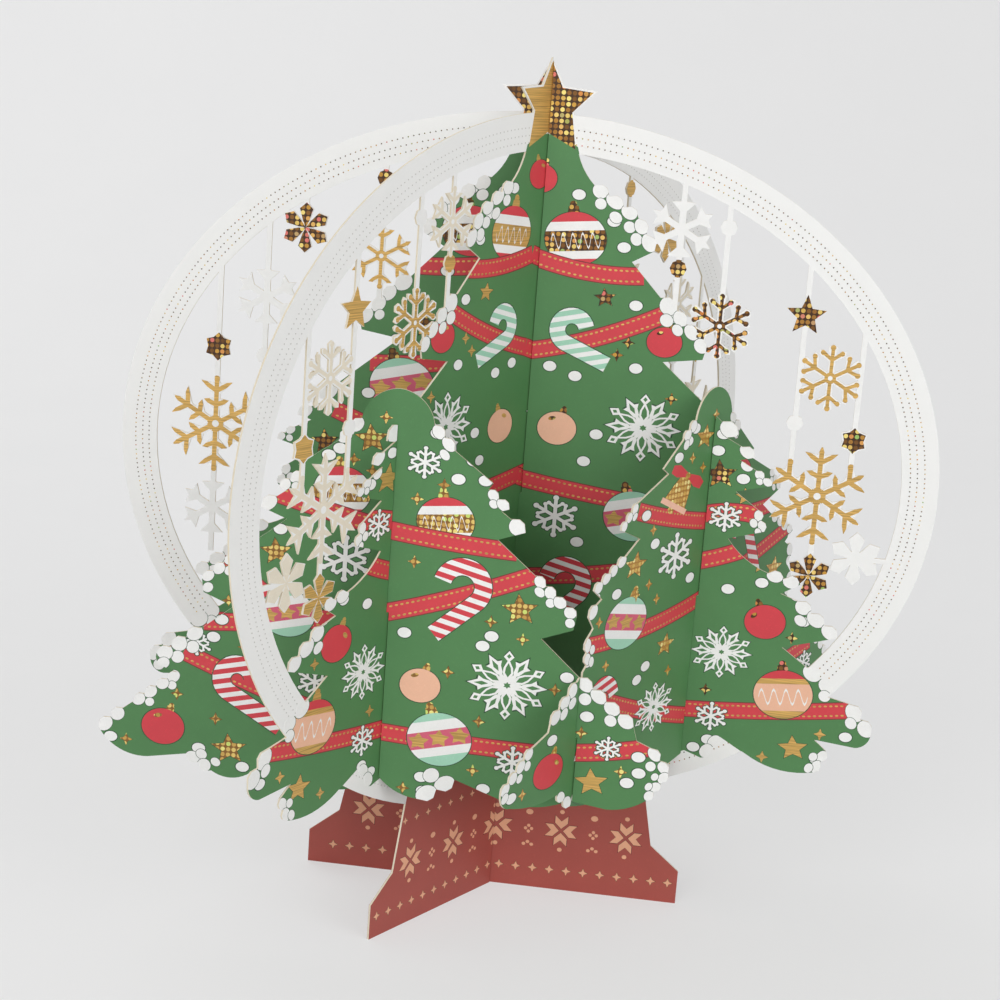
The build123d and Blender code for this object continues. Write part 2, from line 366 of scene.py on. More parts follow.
def pixel_finish(sheet):
    ground, cells = lit_and_shaded_pixel_foils[sheet.node]
    finish = Finish(sheet.node + "_pixel_foil", metallic=0.3)
    across, height = on_sheet(finish, sheet)
    column = across * (1 / pixel_pitch)
    row = height * (1 / pixel_pitch)
    cell = finish.node("ShaderNodeCombineXYZ", inputs={"X": column.floor(), "Y": row.floor()})
    chance = finish.node("ShaderNodeTexWhiteNoise", {"noise_dimensions": "2D"}, {"Vector": cell})
    flash = finish.node("ShaderNodeValToRGB", {"stops": cells}, {0: chance})
    aside = column.fraction() - 0.5
    above = row.fraction() - 0.5
    dot = aside * aside + above * above < pixel_radius**2
    finish.feed("Base Color", finish.mix(dot, ground, flash))
    finish.feed("Roughness", 0.38 - dot * 0.12)
    return finish.material


foil_materials = {sheet.node: {"gold": gold_finish(sheet)} for sheet in sheets}
for sheet in (broad, front, side):
    foil_materials[sheet.node]["holo"] = pixel_finish(sheet)
print("foils:", {node: sorted(foils) for node, foils in foil_materials.items()})

# %% [markdown]
# Now the drawing. A sheet's artwork is a list of closed outlines, each with its ink, and later
# ones lie on top, as cut paper would. Outlines could be drawn by hand as curves, but a list of
# points is turned, scaled and repeated in one line. These first helpers give ovals, strokes and
# stars, and places at a distance from a centre.


# %% Outlines
def moved(points, place, turn=0.0, scale=1.0):
    """Turn, scale and move an outline."""
    cosine, sine = cos(turn) * scale, sin(turn) * scale
    return [(place[0] + x * cosine - y * sine, place[1] + x * sine + y * cosine) for x, y in points]


def at(point, place, turn=0.0, scale=1.0):
    """One point, turned, scaled and moved in the same way."""
    return moved([point], place, turn, scale)[0]


def reach(place, angle, distance):
    """The point at a distance from a place, in a direction."""
    return (place[0] + distance * cos(angle), place[1] + distance * sin(angle))


def oval(place, half_wide, half_high, turn=0.0, sides=20):
    angles = [2 * pi * step / sides for step in range(sides)]
    return moved([(half_wide * cos(a), half_high * sin(a)) for a in angles], place, turn)


def disc(place, radius, sides=20):
    return oval(place, radius, radius, sides=sides)


def stroke(start, end, width):
    """A straight stroke of the pen with square ends."""
    length = hypot(end[0] - start[0], end[1] - start[1])
    turn = atan2(end[1] - start[1], end[0] - start[0])
    half = width / 2
    return moved([(0, -half), (length, -half), (length, half), (0, half)], start, turn)


def pointed(place, radius, points, dip, turn=pi / 2):
    """A star with straight sides, whose inner corners lie at a share of its radius."""
    outline = []
    for step in range(2 * points):
        distance = radius if step % 2 == 0 else radius * dip
        outline.append(reach(place, turn + pi * step / points, distance))
    return outline


def both_sides(half):
    """Close a half outline by its mirror image below."""
    return half + [(x, -y) for x, y in reversed(half) if y > 0]


def both_halves(half):
    """Close the right half of an outline by its mirror image on the left."""
    return half + [(-x, y) for x, y in reversed(half) if x > 0]


six_ways = [pi / 2 + arm * pi / 3 for arm in range(6)]
print("six arms point at", [round(angle, 2) for angle in six_ways])

# %% [markdown]
# Canes and ribbons are strips of even width. A strip follows a line of points: at each one it steps
# to both sides, square to the way from the point before to the point after. A ribbon's line is a
# parabola, which for so shallow a curve can't be told from a hanging chain.


# %% Strips and hanging curves
def band(centre_line, width):
    """The two long edges of a strip of even width along a line of points."""
    left, right = [], []
    for index, (x, y) in enumerate(centre_line):
        before = centre_line[max(index - 1, 0)]
        after = centre_line[min(index + 1, len(centre_line) - 1)]
        length = hypot(after[0] - before[0], after[1] - before[1])
        aside = (-(after[1] - before[1]) / length, (after[0] - before[0]) / length)
        left.append((x + aside[0] * width / 2, y + aside[1] * width / 2))
        right.append((x - aside[0] * width / 2, y - aside[1] * width / 2))
    return left, right


def strip(centre_line, width):
    """The same strip as one closed outline."""
    left, right = band(centre_line, width)
    return left + right[::-1]


def swag(start, end, sag, steps=10):
    """Points of a shallow hanging curve."""
    points = []
    for step in range(steps + 1):
        share = step / steps
        drop = 4 * sag * share * (1 - share)
        points.append((
            start[0] + (end[0] - start[0]) * share,
            start[1] + (end[1] - start[1]) * share - drop,
        ))
    return points


print("a hanging curve has", len(swag((0, 0), (10, 0), 0.6)), "points")

# %% [markdown]
# A drawing keeps its outlines in the order in which they are laid down. A tree's green is a field:
# what is drawn in it is cut off at its edge. The balls and flakes of the print are broader than
# high, so a decorator hands a motif's outlines on a little flattened, and the motif itself can be
# drawn round.


# %% A drawing
class Artwork:
    """The drawing of one sheet: outlines in their inks, later ones on top.

    What is drawn inside a field, such as the green of a tree, is cut off at the field's edge.
    """

    def __init__(self, foil, motif_wide):
        self.foil = foil
        self.motif_wide = motif_wide
        self.shift = (0.0, 0.0)
        self.fields = [None]
        self.shapes = []

    def fill(self, ink, points):
        placed = [(x + self.shift[0], y + self.shift[1]) for x, y in points]
        self.shapes.append((ink, placed, self.fields[-1]))

    def open_field(self, ink, points):
        self.fill(ink, points)
        self.fields.append(len(self.shapes) - 1)

    def close_field(self):
        self.fields.pop()


class Flattened:
    """Hands a motif's outlines on to a drawing, a little flattened about the motif's place."""

    high = 0.9

    def __init__(self, art, place):
        self.art = art
        self.foil = art.foil
        self.wide = art.motif_wide
        self.place = place

    def fill(self, ink, points):
        x0, y0 = self.place
        flat = [(x0 + (x - x0) * self.wide, y0 + (y - y0) * self.high) for x, y in points]
        self.art.fill(ink, flat)


def flattened(motif):
    """Make a motif draw itself flattened: the balls and flakes of the print are broader than high."""
    def draw(art, place, *sizes):
        motif(Flattened(art, place), place, *sizes)
    return draw


# %% [markdown]
# The ornaments are the ones that any Christmas card has: snow, glass balls, candy canes, ribbons,
# stars, snowflakes and a bell. Each is one short function that lays a few outlines over each
# other. White ones get a dark line round them, as on the print.

# %% Snow, stars and sparkles
line_width = 0.18
lined_white = [("line", line_width), ("white", 0.0)]
snow_radius = 1.15
sparkle_dip = 0.42
star_dip = 0.46
star_turn = pi / 2 + 0.12


@flattened
def snow_dot(art, place):
    for ink, margin in lined_white:
        art.fill(ink, oval(place, snow_radius * 1.05 + margin, snow_radius * 0.95 + margin))


def sparkle(art, place, radius=1.25, ink=None):
    art.fill("line", pointed(place, radius + 0.12, 4, sparkle_dip))
    art.fill(ink or art.foil, pointed(place, radius, 4, sparkle_dip))


@flattened
def foil_star(art, place, radius, foil=None):
    art.fill("line", pointed(place, radius + 0.25, 5, star_dip, star_turn))
    art.fill(foil or art.foil, pointed(place, radius, 5, star_dip, star_turn))


print("a snow dot is", round(2 * snow_radius, 1), "mm across")

# %% [markdown]
# There are two printed snowflakes. The plain one has six arms with a pair of barbs, and a ball at
# every end. The lace one has looped arms that end in kites, and a leaf between each two. Only half
# of a leaf, loop or kite is written down, in shares of the flake's radius; the rest is mirrored
# and turned.

# %% Printed snowflakes
flake_tip = 0.88
flake_fork = 0.42
barb_length = 0.34
barb_turn = pi / 3.4


@flattened
def snowflake(art, place, radius):
    """Six arms with a ball at each end and one pair of balled barbs."""
    width = 0.15 * radius
    for ink, margin in lined_white:
        for angle in six_ways:
            tip = reach(place, angle, flake_tip * radius)
            fork = reach(place, angle, flake_fork * radius)
            art.fill(ink, stroke(place, tip, width + 2 * margin))
            art.fill(ink, disc(tip, 0.12 * radius + margin, 12))
            for barb in (-barb_turn, barb_turn):
                end = reach(fork, angle + barb, barb_length * radius)
                art.fill(ink, stroke(fork, end, 0.8 * width + 2 * margin))
                art.fill(ink, disc(end, 0.09 * radius + margin, 10))


leaf = both_sides([(0.30, 0.0), (0.42, 0.085), (0.60, 0.13), (0.72, 0.22), (0.74, 0.11), (1.0, 0.0)])
loop = both_sides([(0.14, 0.05), (0.36, 0.13), (0.52, 0.115), (0.72, 0.03)])
kite = both_sides([(0.72, 0.03), (0.84, 0.13), (1.02, 0.0)])
leaf_vein = both_sides([(0.46, 0.0), (0.62, 0.06), (0.82, 0.0)])
loop_hole = both_sides([(0.24, 0.0), (0.37, 0.075), (0.52, 0.06), (0.66, 0.0)])
kite_hole = both_sides([(0.79, 0.0), (0.86, 0.055), (0.93, 0.0)])
lace_layers = [("line", 1.04, 1.02, 1.04), ("white", 0.98, 1.0, 1.0)]


@flattened
def lace_snowflake(art, place, radius):
    """Six looped arms that end in kites, with a leaf between each two."""
    for ink, leaf_scale, loop_scale, kite_scale in lace_layers:
        for angle in six_ways:
            between = angle + pi / 6
            art.fill(ink, moved(leaf, place, between, radius * leaf_scale))
            art.fill(ink, moved(loop, place, angle, radius * loop_scale))
            art.fill(ink, moved(kite, place, angle, radius * kite_scale))
            if ink == "white":
                stem = at((0.34, 0), place, between, radius)
                art.fill(ink, stroke(place, stem, 0.1 * radius))
    art.fill("white", disc(place, 0.19 * radius))
    for angle in six_ways:
        art.fill("green", moved(loop_hole, place, angle, radius))
        art.fill("green", moved(kite_hole, place, angle, radius))
        art.fill("green", moved(leaf_vein, place, angle + pi / 6, radius))
    art.fill("green", pointed(place, 0.1 * radius, 6, 0.6))


print("a lace arm has", len(leaf) + len(loop) + len(kite), "points")

# %% [markdown]
# A glass ball is a disc under a foil cap. Some are plain with a glint of foil, others have level
# bands: a band is the part of the disc between two heights, so the ball is cut into slices from
# its foot up, and a zigzag or a row of stars goes on top.

# %% Glass balls
ball_sides = 32


def ball_slice(place, radius, low, high, turn):
    """Part of a disc between two heights, which are shares of its radius from -1 to 1."""
    angles = [asin(low) + (asin(high) - asin(low)) * step / 8 for step in range(9)]
    right = [(cos(a) * radius, sin(a) * radius) for a in angles]
    left = [(-x, y) for x, y in reversed(right)]
    return moved([p for p in right + left if abs(p[0]) > 1e-6 or p in right], place, turn)


def ball_cap(art, place, radius, turn):
    neck = [(-0.2, 0.96), (0.2, 0.96), (0.16, 1.22), (-0.16, 1.22)]
    ring = at((0, 1.28), place, turn, radius)
    art.fill(art.foil, moved(neck, place, turn, radius))
    art.fill(art.foil, oval(ring, 0.12 * radius, 0.14 * radius, sides=12))


@flattened
def plain_ball(art, place, radius, ink, turn=-0.25):
    art.fill("line", disc(place, radius + line_width, ball_sides))
    ball_cap(art, place, radius, turn)
    art.fill(ink, disc(place, radius, ball_sides))
    glint = at((-0.42 * radius, 0.5 * radius), place, turn)
    art.fill(art.foil, oval(glint, 0.2 * radius, 0.12 * radius, turn + 0.6, sides=12))


print("a ball has", ball_sides, "sides")


# %% Banded balls
def zigzag(place, width, height, waves, thick, turn):
    """A wavy line as one closed outline."""
    crest = []
    for step in range(8 * waves + 1):
        share = step / (8 * waves)
        crest.append((width * (share - 0.5), height / 2 * sin(2 * pi * waves * share)))
    upper = [(x, y + thick / 2) for x, y in crest]
    lower = [(x, y - thick / 2) for x, y in reversed(crest)]
    return moved(upper + lower, place, turn)


def banded_ball(art, place, radius, bands, turn):
    """A ball with level bands of ink, from its foot up: (ink, top of the band)."""
    art.fill("line", disc(place, radius + line_width, ball_sides))
    ball_cap(art, place, radius, turn)
    low = -1.0
    for ink, high in bands:
        art.fill(ink, ball_slice(place, radius, low, high, turn))
        low = high


@flattened
def red_bauble(art, place, radius):
    tilt = 0.12
    bands = [("red", -0.76), ("white", -0.46), (art.foil, 0.3), ("white", 0.64), ("red", 1.0)]
    banded_ball(art, place, radius, bands, tilt)
    wave = at((0, -0.08 * radius), place, tilt)
    art.fill("white", zigzag(wave, 1.6 * radius, 0.56 * radius, 5, 0.08 * radius, tilt))


@flattened
def peach_bauble(art, place, radius):
    tilt = 0.1
    bands = [("gold", -0.68), ("peach", 0.44), ("gold", 0.66), ("red", 1.0)]
    banded_ball(art, place, radius, bands, tilt)
    wave = at((0, -0.1 * radius), place, tilt)
    art.fill("white", zigzag(wave, 1.66 * radius, 0.62 * radius, 4, 0.1 * radius, tilt))


@flattened
def mint_bauble(art, place, radius):
    tilt = 0.28
    bands = [("mint", -0.6), ("white", -0.28), ("pink", 0.34), ("white", 0.72), ("mint", 1.0)]
    banded_ball(art, place, radius, bands, tilt)
    for across in (-0.66, 0.0, 0.66):
        spot = at((across * radius, 0.03 * radius), place, tilt)
        art.fill("gold", pointed(spot, 0.34 * radius, 5, 0.55))


print("a slice of a ball has", len(ball_slice((0, 0), 5.0, -0.5, 0.5, 0.0)), "points")

# %% [markdown]
# There is one bell, on the side tree. Its outline is half a bell and the mirror image of that half,
# in millimetres, tilted as a whole under a bow with two equal wings.

# %% The bell
bell_half = [(0.0, 3.4), (1.7, 3.2), (2.6, 0.5), (3.4, -2.6), (0.0, -2.6)]
bell_rim = [(-4.1, -2.6), (-4.1, -3.8), (4.1, -3.8), (4.1, -2.6)]
bow_wing = [(0.0, 0.4), (3.4, 1.1), (5.1, 0.4), (4.9, -1.3), (2.9, -1.5), (0.0, -0.4)]
bell_tilt = 0.52


@flattened
def bell(art, place):
    """A tilted bell with a pale rim, under a bow."""
    clapper = at((0.3, -4.2), place, bell_tilt)
    knot = at((0.0, 3.7), place, bell_tilt)
    art.fill(art.foil, oval(clapper, 0.9, 0.8, bell_tilt, 12))
    art.fill("line", moved(both_halves(bell_half), place, bell_tilt, 1.05))
    art.fill(art.foil, moved(both_halves(bell_half), place, bell_tilt))
    art.fill("blush", moved(bell_rim, place, bell_tilt))
    for way in (-1, 1):
        wing = [(way * x, y) for x, y in bow_wing]
        art.fill("red", moved(wing, knot, bell_tilt))
    art.fill(art.foil, oval(knot, 0.7, 0.6, bell_tilt, 12))


print("the bell is", bell_rim[2][0] - bell_rim[0][0], "mm wide at its rim")

# %% [markdown]
# A candy cane is a straight shaft that runs into a hook. The shaft meets the hook at the tangent
# point, which comes from the distance of its foot to the hook's centre. Its stripes could be bent
# round the hook, but on the print they are slanting bars that the cane's own outline cuts off.

# %% Candy canes
cane_end = radians(166)
cane_step = 0.6


def cane_line(centre, radius, foot, mirrored):
    """Points from the hook's open end, over the top and down to the foot, evenly spaced."""
    way = -1 if mirrored else 1
    to_foot = (way * (foot[0] - centre[0]), foot[1] - centre[1])
    distance = hypot(*to_foot)
    leave = atan2(to_foot[1], to_foot[0]) + acos(radius / distance)
    arc = radius * (cane_end - leave)
    straight = (distance**2 - radius**2) ** 0.5
    points = []
    steps = int((arc + straight) / cane_step)
    for step in range(steps + 1):
        run = (arc + straight) * step / steps
        angle = max(cane_end - run / radius, leave)
        past = max(run - arc, 0.0)
        x = radius * cos(angle) + past * sin(leave)
        y = radius * sin(angle) - past * cos(leave)
        points.append((centre[0] + way * x, centre[1] + y))
    return points


stripe_pitch = 1.9
stripe_rise = 0.24


def candy_cane(art, centre, radius, foot, ink, width, mirrored=False):
    line = cane_line(centre, radius, foot, mirrored)
    art.fill("line", strip(line, width + 2 * line_width))
    outline = strip(line, width)
    art.open_field("white", outline)
    low, high = min(x for x, y in outline), max(x for x, y in outline)
    rise = (high - low) * stripe_rise / 2
    slant = rise if mirrored else -rise
    level = max(y for x, y in outline) + rise
    foot_level = min(y for x, y in outline) - rise
    while level > foot_level:
        art.fill(ink, stroke((low, level - slant), (high, level + slant), stripe_pitch / 2))
        level -= stripe_pitch
    art.close_field()


print("a cane's line has", len(cane_line((0, 0), 3.0, (0, -8), False)), "points")

# %% [markdown]
# A ribbon is a red strip along a shallow hanging curve, with a dark seam round it and two rows of
# gold stitches. The stitches get a curve of their own, with one point for each of them.

# %% Ribbons
ribbon_width = 3.2
ribbon_step = 1.5
stitch_pitch = 1.05
stitch_rows = 0.62


def ribbon(art, start, end, sag):
    line = swag(start, end, sag, max(6, int(abs(end[0] - start[0]) / ribbon_step)))
    art.fill("seam", strip(line, ribbon_width + 2 * line_width))
    art.fill("red", strip(line, ribbon_width))
    span = hypot(end[0] - start[0], end[1] - start[1])
    count = max(3, int(span / stitch_pitch))
    tilt = atan2(end[1] - start[1], end[0] - start[0])
    for row in band(swag(start, end, sag, count), ribbon_width * stitch_rows):
        for place in row[1:-1]:
            art.fill("gold", oval(place, 0.34, 0.2, tilt, 6))


print("stitches on 10 mm of ribbon:", 2 * int(10 / stitch_pitch))

# %% [markdown]
# The outlines of the trees are the die lines of the card. They are written as one half, from the
# top down: straight runs, bowed runs and rows of snow lumps, each with the place where it ends. A
# bow also has its rise, and a row of snow its number of lumps.

# %% Half outlines of the trees
star_base = 149.2
skirt = 31.0
globe_tree = [
    ("bow", 6.0, star_base, 0.4), ("bow", 9.8, 142.4, -0.6), ("snow", 18.5, 137.0, 3),
    ("snow", 22.0, 131.0, 2), ("line", 18.0, 128.7), ("line", 24.0, 122.4), ("snow", 27.2, 120.2, 1),
    ("snow", 33.4, 113.0, 3), ("line", 33.0, 111.3), ("line", 25.5, 110.2), ("line", 37.8, 99.8),
    ("snow", 41.2, 97.2, 1), ("line", 39.0, 96.8), ("line", 42.2, 95.2), ("snow", 44.8, 93.4, 1),
    ("line", 42.0, 92.6), ("line", 45.4, 90.8), ("snow", 48.6, 88.2, 2), ("line", 41.8, 86.4),
    ("line", 46.4, 83.2), ("snow", 48.0, 79.0, 2), ("line", 41.2, 77.0), ("bow", 49.6, 70.8, -0.8),
    ("snow", 56.0, 69.2, 2), ("line", 52.4, 67.0), ("line", 56.0, 65.8), ("snow", 64.2, 59.2, 3),
    ("line", 53.8, 56.2), ("line", 59.0, 52.6), ("snow", 64.6, 48.4, 2), ("line", 63.0, 47.2),
    ("line", 68.2, 46.0), ("snow", 72.8, 40.2, 2), ("bow", 70.0, 37.2, 0.8), ("line", 62.0, 38.0),
    ("line", 64.6, 35.8), ("snow", 62.6, 31.2, 2), ("bow", 50.0, 32.9, 1.2), ("line", 43.6, 36.6),
    ("snow", 40.2, 31.8, 2), ("line", 36.8, 33.0), ("bow", 22.0, skirt, 1.2), ("bow", 0.0, skirt, 1.2),
]
front_tiers = [
    ("bow", 6.6, 100.4, 1.6), ("snow", 10.4, 96.2, 2), ("line", 17.8, 90.8), ("line", 17.0, 89.6),
    ("snow", 21.0, 86.4, 2), ("line", 19.6, 85.9), ("line", 21.4, 84.6), ("snow", 24.2, 82.4, 1),
    ("line", 19.3, 80.6), ("line", 26.6, 74.6), ("snow", 34.6, 67.6, 4), ("line", 34.2, 65.2),
    ("line", 28.5, 63.0),
]
front_right_tip = [
    ("line", 36.0, 56.4), ("snow", 46.6, 48.2, 4), ("line", 47.4, 45.5), ("line", 50.2, 44.4),
    ("snow", 53.6, 40.0, 2), ("snow", 50.0, 34.2, 3), ("bow", 43.0, 31.7, 0.6), ("line", 36.0, 32.6),
]
front_left_tip = [
    ("line", 34.4, 58.2), ("snow", 42.8, 51.8, 3), ("line", 42.4, 50.3), ("line", 38.4, 49.2),
    ("snow", 46.8, 42.6, 4), ("line", 48.8, 41.0), ("snow", 53.4, 36.8, 2), ("bow", 43.8, 32.0, 1.6),
    ("line", 36.4, 33.4), ("snow", 31.4, 30.6, 2),
]
front_skirt = [
    ("bow", 24.0, skirt, 1.2), ("line", 14.6, 34.2), ("snow", 8.0, 29.6, 2), ("bow", 0.0, 33.6, 1.0),
]
front_right = front_tiers + front_right_tip + front_skirt
front_left = front_tiers + front_left_tip + front_skirt
side_tree = [
    ("bow", 6.4, 100.6, 1.6), ("snow", 10.4, 97.2, 2), ("line", 16.6, 92.4), ("line", 14.6, 91.2),
    ("line", 24.4, 87.0), ("snow", 29.2, 82.6, 3), ("line", 22.6, 80.0), ("line", 27.0, 77.2),
    ("snow", 36.4, 72.4, 4), ("line", 33.6, 70.4), ("line", 35.0, 69.6), ("snow", 37.4, 67.6, 1),
    ("line", 35.6, 65.2), ("line", 37.4, 63.4), ("snow", 36.8, 58.4, 2), ("line", 39.4, 55.8),
    ("snow", 46.8, 49.6, 3), ("line", 47.2, 48.0), ("line", 52.0, 46.2), ("snow", 60.4, 39.6, 4),
    ("bow", 57.6, 36.4, 0.9), ("bow", 43.0, 35.0, 0.8), ("snow", 38.6, 31.6, 2),
    ("bow", 20.0, skirt, 1.2), ("bow", 0.0, 32.4, 1.0),
]
head_top = 106.4
tree_top = 151.2
snow_rise = 0.34
snow_facets = 3
print("runs on half a tree:", len(globe_tree), len(front_right), len(front_left), len(side_tree))

# %% [markdown]
# The green is printed a little past the die line, as a printer's bleed, so that the cutter leaves
# no white edge. The runs of a half become points one after the other, and the left half is mirrored.


# %% Green fields
def bowed(here, there, rise, steps=6):
    """Points of a shallow arc that swells to the left of the way."""
    dx, dy = there[0] - here[0], there[1] - here[1]
    length = hypot(dx, dy)
    points = []
    for step in range(1, steps + 1):
        share = step / steps
        lift = 4 * rise * share * (1 - share) / length
        points.append((here[0] + dx * share - dy * lift, here[1] + dy * share + dx * lift))
    return points


bleed = 0.1


def with_bleed(points):
    """The same outline, a little larger all round, so that the cutter leaves no white edge."""
    grown = []
    for index, (x, y) in enumerate(points):
        before = points[index - 1]
        after = points[(index + 1) % len(points)]
        dx, dy = after[0] - before[0], after[1] - before[1]
        length = hypot(dx, dy)
        grown.append((x - dy / length * bleed, y + dx / length * bleed))
    return grown


def half_outline(top, steps):
    """Points of the right half of a tree, from the centre line at the top to the skirt."""
    half = [(0.0, top)]
    for kind, x, y, *rest in steps:
        here = half[-1]
        if kind == "line":
            half.append((x, y))
        elif kind == "bow":
            half += bowed(here, (x, y), rest[0])
        else:
            facets = rest[0] * snow_facets
            dx, dy = (x - here[0]) / facets, (y - here[1]) / facets
            for step in range(1, facets + 1):
                swell = snow_facets * snow_rise * abs(sin(pi * step / snow_facets))
                half.append((here[0] + dx * step - dy * swell, here[1] + dy * step + dx * swell))
    return half


def tree_outline(top, right_steps, left_steps):
    left = [(-x, y) for x, y in reversed(half_outline(top, left_steps)) if x > 1e-6]
    return with_bleed(half_outline(top, right_steps) + left)


print("points of the large tree:", len(tree_outline(tree_top, globe_tree, globe_tree)))

# %% [markdown]
# Every lump of snow on the edge gets one large white blot, and about half of them a smaller one
# beside it. Dice with a fixed seed vary their places and sizes, so they don't look stamped, and each
# run gives the same snow.

# %% Snow along the edges
snow_line = 0.1
blots_of_lump = [(1.0, 0.0, 0.05, 0.98), (0.5, 0.9, 1.2, 0.72)]


def lumps_of(here, there, count):
    """Middle, half width and direction of each lump in a row of snow."""
    turn = atan2(there[1] - here[1], there[0] - here[0])
    half = hypot(there[0] - here[0], there[1] - here[1]) / count / 2
    for index in range(count):
        share = (index + 0.5) / count
        middle = (here[0] + (there[0] - here[0]) * share, here[1] + (there[1] - here[1]) * share)
        yield middle, half, turn


def snow_on_edge(art, steps, flip, dice):
    """White blots along the snow rows of one half, each with its own dark line.

    Each blot of a lump has a chance, a place along and inside the lump, and a size, in shares of the
    lump's half width.
    """
    here = (0.0, 0.0)
    for kind, x, y, *rest in steps:
        lumps = lumps_of(here, (x, y), rest[0]) if kind == "snow" else []
        for middle, half, turn in lumps:
            for chance, along, inside, size in blots_of_lump:
                if dice.random() > chance:
                    continue
                aside = half * (along + dice.uniform(-0.2, 0.2))
                inward = -half * inside * dice.uniform(0.8, 1.2)
                place = at((aside, inward), middle, turn)
                half_wide = half * size * dice.uniform(0.9, 1.15)
                half_high = half * size * dice.uniform(0.75, 0.95)
                for ink, margin in (("line", snow_line), ("white", 0.0)):
                    blot = oval(place, half_wide + margin, half_high + margin, turn)
                    art.fill(ink, [(flip * px, py) for px, py in blot])
        here = (x, y)


print("blots on a lump: up to", len(blots_of_lump))

# %% [markdown]
# The trunk is knitwear: a dull red ground with eight-petalled roses, small clusters between them
# and two rows of stars. All are repeated at an even pitch, so loops set them out.

# %% Trunk
trunk_half = [(0, 32.5), (28, 32.5), (32, 11.8), (38, 6.9), (38, 0), (0, 0)]
rose_petals = [(0.0, 0.1), (0.42, 0.5), (0.42, 1.0), (0.0, 0.62), (-0.42, 1.0), (-0.42, 0.5)]


def knit_rose(art, place, radius):
    for ink, out, scale in (("seam", -0.02, 1.1), ("tan", 0.12, 1.0)):
        for quarter in range(4):
            turn = quarter * pi / 2
            art.fill(ink, moved(rose_petals, at((0, out), place, turn), turn, radius * scale))
    for way in (1, -1):
        art.fill("tan", oval((place[0], place[1] + way * 1.32 * radius), 0.5, 0.45, sides=10))


def knit_cluster(art, place):
    for dx, dy in ((0, 0.62), (0, -0.62), (0.62, 0), (-0.62, 0)):
        art.fill("tan", disc((place[0] + dx, place[1] + dy), 0.36, 8))
    art.fill("tan", oval((place[0], place[1] + 3.6), 0.75, 0.6, sides=10))
    for dx, dy in ((-0.8, -3.4), (0, -2.9), (0.8, -3.4)):
        art.fill("tan", oval((place[0] + dx, place[1] + dy), 0.4, 0.36, sides=8))


rose_pitch = 13.2
stitch_star_pitch = 3.45


def trunk_art(art):
    art.fill("trunk", both_halves(trunk_half))
    for step in range(-2, 3):
        knit_rose(art, (0.5 + rose_pitch * step, 12.8), 3.1)
    for step in range(-2, 2):
        knit_cluster(art, (7.1 + rose_pitch * step, 12.6))
    for step in range(-10, 11):
        for height, radius in ((4.2, 0.95), (21.6, 0.8)):
            sparkle(art, (1.6 + stitch_star_pitch * step, height), radius, "tan")


print("the trunk is", 2 * trunk_half[4][0], "mm wide at its foot")

# %% [markdown]
# The star on top is stamped in foil inside a thin white border. The oval ring carries three fine
# rows of dots, in foil on the broad sheet and in silver ink on the other. Each dot has only four
# sides, because there are many hundreds of them.

# %% Star and ring
star_half = [(0, 164.7), (2.4, 159.9), (8.2, 159.4), (4.5, 155.5), (5.6, 148.8), (0, 151.6)]
ring_centre = 87.8
ring_half_wide = 80.0
ring_half_high = 67.4
ring_rows = [2.7, 4.1, 5.4]
ring_dot = 0.16


def ring_art(art, ink):
    for inset in ring_rows:
        wide, high = ring_half_wide - inset, ring_half_high - inset
        count = int(pi * (wide + high))
        for step in range(count):
            angle = 2 * pi * step / count
            dot = (wide * cos(angle), ring_centre + high * sin(angle))
            art.fill(ink, oval(dot, ring_dot, ring_dot, angle, 4))


print("rows of dots on the ring:", len(ring_rows))

# %% [markdown]
# The hanging flakes are stamped with slim lines of foil that leave a white margin on the card. A
# line runs down each arm and ends in a ball, and so does each stem that leaves the arm. The stars,
# petals and beads are stamped whole. Each stamp has a foil for the broad sheet and one for the
# cross sheet, where some flakes only have lines of cream ink.

# %% Foil on the lace
flake_stems = {
    "beaded": [(0.54, 0.74, 0.27)],
    "feathered": [(0.58, 0.74, 0.27)],
    "large": [(0.38, 0.46, 0.19), (0.66, 0.81, 0.25)],
}
petal = both_sides([(0.0, 0.0), (0.26, 0.12), (0.72, 0.26), (0.96, 0.0)])
lace_star_dip = 0.45
hexagram_dip = 0.74
bridge = 57.3
lace_stamps = [
    ("bead", (26.8, 128.2), 1.7, "holo", "gold"),
    ("beaded", (35.6, 118.0), 6.3, "holo", "gold"),
    ("star", (51.6, 121.4), 4.0, "holo", "gold"),
    ("hexagram", (63.0, 98.4), 2.5, "holo", "gold"),
    ("beaded", (bridge, 110.0), 6.5, "gold", "cream"),
    ("large", (bridge, 87.0), 10.0, "gold", "cream"),
    ("petal", (bridge, 71.2), 4.6, "holo", "gold"),
    ("bead", (-30.0, 140.6), 1.7, "holo", "gold"),
    ("feathered", (-30.0, 125.8), 6.5, "gold", "cream"),
    ("petal", (-45.0, 130.0), 5.0, "holo", "gold"),
    ("hexagram", (-61.2, 105.4), 2.8, "holo", "gold"),
    ("large", (-61.2, 90.0), 10.0, "gold", "cream"),
    ("feathered", (26.8, 135.6), 6.5, None, "cream"),
    ("petal", (65.8, 75.4), 5.3, None, "cream"),
    ("feathered", (-52.0, 116.0), 6.5, None, "cream"),
    ("feathered", (-61.2, 73.0), 6.5, None, "cream"),
]


